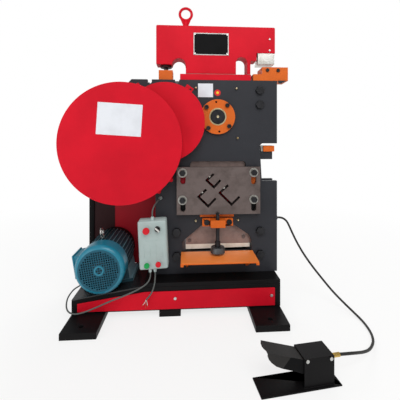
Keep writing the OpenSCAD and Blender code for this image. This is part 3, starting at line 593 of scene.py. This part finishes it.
class IRONWORKER_OT_leads(bpy.types.Operator):
    """Electric leads and the pedal's pull cable"""

    bl_idname = "ironworker.leads"
    bl_label = "Leads"

    def execute(self, context):
        sizes = context.scene.ironworker_sizes
        motor = [box_point(-16.5, -78, -113), box_point(-16.5, -78, -125)]
        motor += [at(*p) for p in ((-286, -79, 158), (-292, -83, 146), (-302, -88, 137), (-317, -94, 129),
                                   (-345, -103, 118), (-380, -111, 107), (-434, -117, 90), (-490, -120, 68),
                                   (-535, -119, 51), (-570, -112, 41), (-598, -96, 37), (-618, -74, 38),
                                   (-631, -48, 43), (-637, -21, 54), (-634, 4, 64), (-624, 20, 74),
                                   (-610, 28, 81), (-596, 31, 88), (-587, 31, 99))]
        motor += [motor_point(-112, 30, -71), motor_point(-112, 30, -59)]
        mains = [box_point(3, -78, -113), box_point(3, -78, -127)]
        mains += [at(*p) for p in ((-265, -81, 155), (-266, -87, 142), (-268, -93, 131), (-272, -98, 119),
                                   (-278, -101, 107), (-287, -102, 95), (-298, -101, 82))]
        control = [box_point(2, -78, 113), box_point(2, -78, 123)]
        control += [at(*p) for p in ((-276, -76, 433), (-272, -69, 446), (-266, -58, 457), (-259, -44, 465),
                                     (-252, -28, 469), (-250, -14, 470))]
        pedal = [at(282, 46, 364), at(292, 46, 364)]
        pedal += [at(*p) for p in ((304, 45, 362), (316, 43, 356), (326, 40, 346), (333, 36, 332),
                                   (345, 31, 304), (362, 25, 266), (384, 17, 224), (408, 8, 185),
                                   (436, -4, 145), (466, -20, 106), (496, -42, 68), (520, -66, 42),
                                   (540, -96, 23), (553, -132, 12), (558, -175, 8), (554, -220, 7),
                                   (544, -258, 7), (526, -294, 9), (500, -326, 14), (472, -353, 22),
                                   (440, -378, 35), (408, -398, 48), (380, -411, 57))]
        pedal += [pedal_point(150, 0, 61), pedal_point(136, 0, 62)]
        cores = []
        for name, ends, look in (("core_left", ((-303, -102, 72), (-311, -102, 62)), "white_core"),
                                 ("core_middle", ((-299, -103, 70), (-300, -103, 56)), "brown_core"),
                                 ("core_right", ((-295, -102, 71), (-293, -102, 60)), "white_core")):
            path = smooth_run([at(-298, -101, 84), at(*ends[0]), at(*ends[1])], 4)
            core, _ = cord_curve(name, path, 0.0024, look)
            bare = (path[-1] - path[-2]).normalized() * 0.007
            tip, _ = cord_curve(name + "_tip", [path[-1], path[-1] + bare], 0.0014, "copper_wire")
            cores += [core, tip]
        for core in cores:
            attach(core, "frame")
        for name, points, thick, look, far, stiff, lay, pieces in (
                ("motor_lead_flex", motor, sizes.lead, "grey_lead", "object", "medium", "hanging", ()),
                ("mains_lead_flex", mains, sizes.lead, "grey_lead", "bare", "medium", "hanging", cores),
                ("control_lead_flex", control, sizes.lead, "grey_lead", "object", "medium", "hanging", ()),
                ("pedal_cable_flex", pedal, sizes.cable, "black_cable", "object", "stiff", "loose", ())):
            path = smooth_run(points)
            flex, length = cord_curve(name, path, thick, look)
            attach(flex, "frame")
            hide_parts(name.replace("_flex", ""))
        return {"FINISHED"}


class IRONWORKER_OT_base(bpy.types.Operator):
    """Skids, welded base and skirt"""

    bl_idname = "ironworker.base"
    bl_label = "Base"

    def execute(self, context):
        for node in ("skids", "base_frame", "top_plate"):
            dressed(node, "black_enamel", 0.0018)
        dressed("motor_plate", "gloss_black_enamel", 0.0018)
        dressed("skirt", "red_enamel", 0.0008)
        return {"FINISHED"}


class IRONWORKER_OT_plates(bpy.types.Operator):
    """Side plates with their guides, bolts and nipples, and a black sheet behind the shear as painted shade
    """

    bl_idname = "ironworker.plates"
    bl_label = "Plates"

    def execute(self, context):
        for node in ("front_plate", "rear_plate", "notch_seat"):
            dressed(node, "charcoal_enamel", 0.0015)
        dressed("guides", "cast_iron", 0.0008)
        dressed("cap_strip", "red_enamel")
        bolts = dressed("frame_bolts", "black_oxide_steel", 0.0008)
        # The bolts that lie lower than the plates hold the skirt
        plates_start = 0.1
        paint_faces(bolts, "zinc_plate", lambda f: f.center.z < plates_start)
        dressed("grease_nipples", "turned_bronze", 0)
        # A black sheet behind the shear mouth is painted shade that keeps the gap dark.
        shade_sheet = cuboid("rear_sill", at(-166, 92.2, 194), at(162, 95.2, 222))
        round_edges(shade_sheet, 0.0008)
        settle(shade_sheet, "black_enamel", "frame")
        return {"FINISHED"}


class IRONWORKER_OT_head(bpy.types.Operator):
    """Ram head with its bare name plate, rivets and eye bolt"""

    bl_idname = "ironworker.head"
    bl_label = "Head"

    def execute(self, context):
        dressed("ram_head", "red_enamel", 0.0015)
        dressed("eyebolt", "red_enamel", 0)
        plate = framed_plate("head_plate", at(-105.5, 19.6, 1103), at(52.5, 21, 1202), 0.004, 0.0005)
        settle(plate, "satin_aluminium", "ram")
        paint_faces(plate, "black_film", lambda f: f.normal.y < -0.9 and f.area > 0.005)
        pins = []
        for x, z in ((-99, 1109), (46, 1109), (-99, 1196), (46, 1196), (240, 1180), (240, 1129)):
            depth = 19.6 if x < 100 else 21
            pins.append(socket_screw("head_pin", at(x, depth, z), FRONT, 0.009, 0.003))
        settle(joined("head_pins", pins), "zinc_plate", "ram")
        return {"FINISHED"}


class IRONWORKER_OT_stations(bpy.types.Operator):
    """Punch, right tool and notcher"""

    bl_idname = "ironworker.stations"
    bl_label = "Stations"

    def execute(self, context):
        dressed("die_block", "orange_enamel")
        dressed("tool_block", "orange_enamel")
        wedge = cuboid("tool_wedge", at(272, -8, 975), at(309, 0, 988))
        pick(wedge, lambda f: f.normal.z < -0.9)
        bpy.ops.transform.resize(value=(0.3, 1, 1), center_override=at(276, -4, 975))
        done_editing()
        round_edges(wedge, 0.001)
        settle(wedge, "charcoal_enamel", "frame")
        dressed("die_ring", "ground_steel", 0.0008)
        punch = dressed("punch", "black_oxide_steel", 0.0008)
        collar = at(0, 0, 1049).z
        # The punch's top above its collar is painted deep red as painted shade of the head's underside.
        paint_faces(punch, "dark_guard_enamel", lambda f: f.center.z > collar)
        dressed("upper_tool", "ground_steel")
        dressed("notch_blade", "ground_steel", 0.0005)
        die = dressed("notch_die", "orange_enamel", 0.0008)
        edge = at(209, 0, 0).x
        paint_faces(die, "ground_steel", lambda f: f.center.x < edge)
        return {"FINISHED"}


class IRONWORKER_OT_cropper(bpy.types.Operator):
    """Channel cropping plate with its spacers, bolts and slot tips, and the ram behind it"""

    bl_idname = "ironworker.cropper"
    bl_label = "Cropper"

    def execute(self, context):
        dressed("channel_plate", "rolled_steel", 0.0008)
        bolts = dressed("channel_bolts", "black_oxide_steel", 0.0008)
        washer = at(0, -31.2, 0).y
        # The washers are painted a darker zinc as painted shade.
        paint_faces(bolts, "dull_zinc_plate", lambda f: f.center.y > washer)
        spacers = dressed("channel_spacers", "orange_enamel", 0.0006)
        halfway = at(0, 0, 530)
        cut_across(spacers, halfway, (0, 0, 1))
        # The upper-left spacer is painted a darker red as painted shade; the lower ones are painted black.
        paint_faces(spacers, "guard_enamel", lambda f: f.center.x < halfway.x)
        paint_faces(spacers, "black_enamel", lambda f: f.center.z < halfway.z)
        tips = []
        for a, b in (((-23, 573), (-50, 549)), ((-55, 506), (-85, 478)), ((40, 524), (7, 494))):
            along = Vector((b[0] - a[0], 0, b[1] - a[1])).normalized()
            middle = at(a[0], -22, a[1]) + along * 0.016
            tip = cuboid("slot_tip", Vector((-0.0035, -0.003, -0.006)), Vector((0.0035, 0.003, 0.0)))
            round_edges(tip, 0.0006)
            turn = Matrix.Rotation(math.atan2(-along.z, along.x), 4, "Y")
            tip.data.transform(Matrix.Translation(middle) @ turn)
            tips.append(tip)
        settle(joined("slot_tips", tips), "ground_steel", "frame")
        dressed("channel_blade", "rolled_steel", 0)
        dressed("ram_plate", "ram_steel", 0.0008)
        return {"FINISHED"}


class IRONWORKER_OT_shear(bpy.types.Operator):
    """Hold-down, shelf and shear blades"""

    bl_idname = "ironworker.shear"
    bl_label = "Shear"

    def execute(self, context):
        dressed("hold_bracket", "orange_enamel")
        # The shelf's top is painted a brighter orange as painted light; its other faces take the plain
        # orange.
        shelf = dressed("shelf", "shelf_enamel", 0.0015)
        paint_faces(shelf, "orange_enamel", lambda f: f.normal.z < 0.7)
        # The lower blade is painted dark steel as painted shade, for the dark gap under the upper blade.
        dressed("lower_blade", "black_oxide_steel", 0.0006)
        dressed("upper_blade", "blade_steel", 0.0006)
        dressed("hold_spindle", "black_oxide_steel", 0.0006)
        dressed("hold_foot", "oiled_steel", 0.0012)
        screws = [socket_screw("holder_screw", at(x, 21, z), FRONT, 0.016, 0.004) for x, z in
                  ((-123, 276), (119, 288))]
        settle(joined("holder_screws", screws), "rolled_steel", "ram")
        return {"FINISHED"}


class IRONWORKER_OT_drive(bpy.types.Operator):
    """Covers, bearing, gears, flywheel and belts, with the covers' bare labels"""

    bl_idname = "ironworker.drive"
    bl_label = "Drive"

    def execute(self, context):
        for node in ("flywheel_cover", "gear_cover", "rear_cover"):
            dressed(node, "red_enamel", 0.0006)
        # The belt guard is painted a darker red as painted shade.
        dressed("belt_guard", "guard_enamel", 0.0006)
        dressed("bearing_flange", "orange_enamel")
        dressed("bushes", "turned_bronze", 0.0006)
        dressed("eccentric_shaft", "black_oxide_steel", 0.0008)
        face = Vector((at(0, 0, 0).x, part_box("eccentric_shaft")[0][1], at(0, 0, AXIS_Z).z))
        centre = socket_screw("shaft_centre", face, FRONT, 0.011, 0.001)
        settle(centre, "turned_bronze", "eccentric")
        dressed("belts", "belt_rubber", 0)
        for node in ("bull_gear", "flywheel", "driven_pulley"):
            dressed(node, "cast_iron", 0)
        for node in ("drive_shaft", "gear_shaft"):
            dressed(node, "ground_steel", 0)
        post = cuboid("guard_post", at(-613, 186, 112), at(-589, 192, 640))
        round_edges(post, 0.0012)
        settle(post, "black_enamel", "frame")
        # A deep red panel on the guard's left part is painted shade.
        inset = framed_plate("guard_inset", at(-589, 190.8, 112), at(-490, 192, 640), 0.002, 0.0004)
        settle(inset, "dark_guard_enamel", "frame")
        thick = context.scene.ironworker_sizes.label * 1000
        label = framed_plate("cover_label", at(-492, COVER_FACE - thick, 742), at(-315, COVER_FACE, 870),
                             0.003, 0.0001)
        middle = at(-403.5, COVER_FACE, 806)
        turn = Matrix.Rotation(math.radians(3.6), 4, "Y")
        label.data.transform(Matrix.Translation(middle) @ turn @ Matrix.Translation(-middle))
        settle(label, "white_film", "frame")
        label = framed_plate("plate_label", at(-86, -thick, 912), at(-20, 0, 972), 0.002, 0.0001)
        settle(label, "white_film", "frame")
        dot = disc("plate_dot", at(0, 0, 932), FRONT, 0.028, 0.0006)
        pick(dot, lambda f: f.normal.y < -0.9)
        bpy.ops.mesh.inset(thickness=0.008)
        done_editing()
        settle(dot, "red_film", "frame")
        paint_faces(dot, "yellow_film", lambda f: f.normal.y < -0.9 and len(f.vertices) > 4)
        return {"FINISHED"}


class IRONWORKER_OT_motor(bpy.types.Operator):
    """Motor with its rotor, fan cover and terminal box"""

    bl_idname = "ironworker.motor"
    bl_label = "Motor"

    def execute(self, context):
        axis = motor_point(0, 0, 0)
        eye = motor_point(0, 15, 97)
        rear = at(0, 150, 0).y
        fin_tips = 0.0965
        grille = 0.08

        def reach(face):
            """How far a face lies from the motor's axis."""
            return math.hypot(face.center.x - axis.x, face.center.z - axis.z)

        body = dressed("motor_body", "dark_teal_enamel", 0)
        # The fin tips are painted paler teal as a painted highlight.
        paint_faces(body, "fin_enamel", lambda f: reach(f) > fin_tips and abs(f.normal.y) < 0.5)
        paint_faces(body, "zinc_plate", lambda f: f.center.z > eye.z and abs(f.center.x - eye.x) < 0.03)
        paint_faces(body, "black_enamel", lambda f: f.center.y > rear)
        fan = dressed("fan_cover", "teal_enamel", 0)
        # The grille's front faces are painted darker teal as painted shade.
        paint_faces(fan, "dark_grille_enamel", lambda f: f.normal.y < -0.97)
        # Faces inside the grille's holes are painted black as painted shade.
        paint_faces(fan, "black_film", lambda f: f.normal.y > -0.3 and reach(f) < grille)
        dressed("terminal_box", "teal_enamel", 0.002)
        rotor = dressed("motor_rotor", "cast_iron", 0)
        blades = motor_point(0, -40, 0).y
        paint_faces(rotor, "black_plastic", lambda f: f.center.y < blades)
        bpy.ops.object.select_all(action="DESELECT")
        bpy.ops.mesh.primitive_torus_add(location=motor_point(0, -100, 0), rotation=(math.radians(90), 0, 0),
                                         major_segments=48, minor_segments=12, major_radius=0.0165,
                                         minor_radius=0.003)
        ring = context.active_object
        ring.name = "fan_ring"
        ring.scale.z = 0.5
        bpy.ops.object.transform_apply(location=True, rotation=True, scale=True)
        settle(ring, "teal_enamel", "frame")
        return {"FINISHED"}


class IRONWORKER_OT_controls(bpy.types.Operator):
    """Control box with its glands, and the buttons"""

    bl_idname = "ironworker.controls"
    bl_label = "Controls"

    def execute(self, context):
        middle = box_point(0, 0, 0)
        turn = Matrix.Translation(middle) @ Matrix.Rotation(math.radians(-BOX_TILT), 4, "Y")
        parts = []
        for name, near, far in (("box_base", -74, -30), ("box_lid", -94, -75)):
            half = cuboid(name, Vector((-0.058, near / 1000, -0.099)), Vector((0.058, far / 1000, 0.099)))
            round_edges(half, 0.009, 5)
            parts.append(half)
        seam = cuboid("box_seam", Vector((-0.055, -0.078, -0.096)), Vector((0.055, -0.071, 0.096)))
        round_edges(seam, 0.006, 3)
        parts.append(seam)
        for low, high in (((-30, 18), (22, 22)), ((-38, -50), (-34, 2)), ((-14, -50), (-10, 2)),
                          ((10, -50), (14, 2)), ((34, -50), (38, 2))):
            rib = cuboid("box_rib", Vector((low[0] / 1000, -0.0948, low[1] / 1000)),
                         Vector((high[0] / 1000, -0.093, high[1] / 1000)))
            round_edges(rib, 0.0006)
            parts.append(rib)
        for x, z, d in ((-22, 64, 30), (22, 66, 27), (-26, -76, 26), (20, -74, 26)):
            collar = disc("box_collar", Vector((x / 1000, -0.094, z / 1000)), FRONT, d / 1000, 0.0015, 40)
            round_edges(collar, 0.0005)
            parts.append(collar)
        for part in parts:
            part.data.transform(turn)
        bracket = cuboid("box_bracket", at(-272, -30, 270), at(-232, 0, 340))
        round_edges(bracket, 0.002)
        parts.append(bracket)
        down = box_point(0, 0, -1) - box_point(0, 0, 0)
        for place, way in ((box_point(-16.5, -78, -99), down), (box_point(3, -78, -99), down),
                           (box_point(2, -78, 99), -down), (at(-250, 0, 470), FRONT)):
            gland = disc("lead_gland", place, way, 0.016, 0.014)
            way = way.normalized()
            pick(gland, lambda f: f.normal.dot(way) > 0.9)
            bpy.ops.transform.resize(value=(0.7, 0.7, 0.7))
            done_editing()
            parts.append(gland)
        box = joined("control_case", parts)
        settle(box, "box_plastic", "frame")
        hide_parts("control_box")
        dressed("e_stop", "red_button", 0.002)
        dressed("stop_button", "red_button", 0.0015)
        dressed("start_button", "green_button", 0.0015)
        knob = dressed("selector", "black_plastic", 0.0008)
        pointer = at(0, -111, 0).y
        paint_faces(knob, "white_core", lambda f: f.center.y < pointer)
        return {"FINISHED"}


class IRONWORKER_OT_pedal(bpy.types.Operator):
    """Foot pedal with its tread, screws and brass ferrule"""

    bl_idname = "ironworker.pedal"
    bl_label = "Pedal"

    def execute(self, context):
        middle = pedal_point(0, 0, 0)
        along = (pedal_point(1, 0, 0) - middle).normalized()
        front = (pedal_point(0, -1, 0) - middle).normalized()
        base = dressed("pedal_base", "black_enamel", 0.001)
        nose = pedal_point(97.5, 0, 0)
        above_plate = 0.03
        paint_faces(base, "turned_brass", lambda f: (f.center - nose).dot(along) > 0
                    and f.center.z > above_plate)
        tread = dressed("pedal_tread", "tread_enamel", 0.0006)
        # The tread's near corner lies in the housing's shade
        notch = pedal_point(-54, -29, 81)
        inward = (along * 30 - Vector((0, 0, 25))).normalized()
        cut_across(tread, notch, inward)
        paint_faces(tread, "black_film", lambda f: (f.center - notch).dot(inward) > 0
                    and f.normal.dot(front) > 0.9)
        screws = [socket_screw("pedal_screw", pedal_point(x, -37, z), front, 0.0105, 0.002) for x, z in
                  ((8, 84), (84, 82))]
        settle(joined("pedal_screws", screws), "zinc_plate", "frame")
        return {"FINISHED"}


class IRONWORKER_PT_panel(bpy.types.Panel):
    """Lists the settings and the pieces"""

    bl_label = "Ironworker"
    bl_idname = "IRONWORKER_PT_panel"
    bl_space_type = "VIEW_3D"
    bl_region_type = "UI"
    bl_category = "Ironworker"

    def draw(self, context):
        for group in (context.scene.ironworker_paint, context.scene.ironworker_sizes):
            for key in group.__annotations__:
                self.layout.prop(group, key)
        for kind in STEPS:
            self.layout.operator(kind.bl_idname)


STEPS = (IRONWORKER_OT_stage, IRONWORKER_OT_leads, IRONWORKER_OT_base, IRONWORKER_OT_plates,
         IRONWORKER_OT_head, IRONWORKER_OT_stations, IRONWORKER_OT_cropper, IRONWORKER_OT_shear,
         IRONWORKER_OT_drive, IRONWORKER_OT_motor, IRONWORKER_OT_controls, IRONWORKER_OT_pedal)
CLASSES = (IronworkerPaint, IronworkerSizes) + STEPS + (IRONWORKER_PT_panel,)


def register():
    for kind in CLASSES:
        bpy.utils.register_class(kind)
    bpy.types.Scene.ironworker_paint = bpy.props.PointerProperty(type=IronworkerPaint)
    bpy.types.Scene.ironworker_sizes = bpy.props.PointerProperty(type=IronworkerSizes)


def unregister():
    del bpy.types.Scene.ironworker_sizes
    del bpy.types.Scene.ironworker_paint
    for kind in reversed(CLASSES):
        bpy.utils.unregister_class(kind)


def main():
    register()
    bpy.ops.ironworker.stage()
    bpy.ops.ironworker.leads()
    bpy.ops.ironworker.base()
    bpy.ops.ironworker.plates()
    bpy.ops.ironworker.head()
    bpy.ops.ironworker.stations()
    bpy.ops.ironworker.cropper()
    bpy.ops.ironworker.shear()
    bpy.ops.ironworker.drive()
    bpy.ops.ironworker.motor()
    bpy.ops.ironworker.controls()
    bpy.ops.ironworker.pedal()


if __name__ == "__main__":
    main()
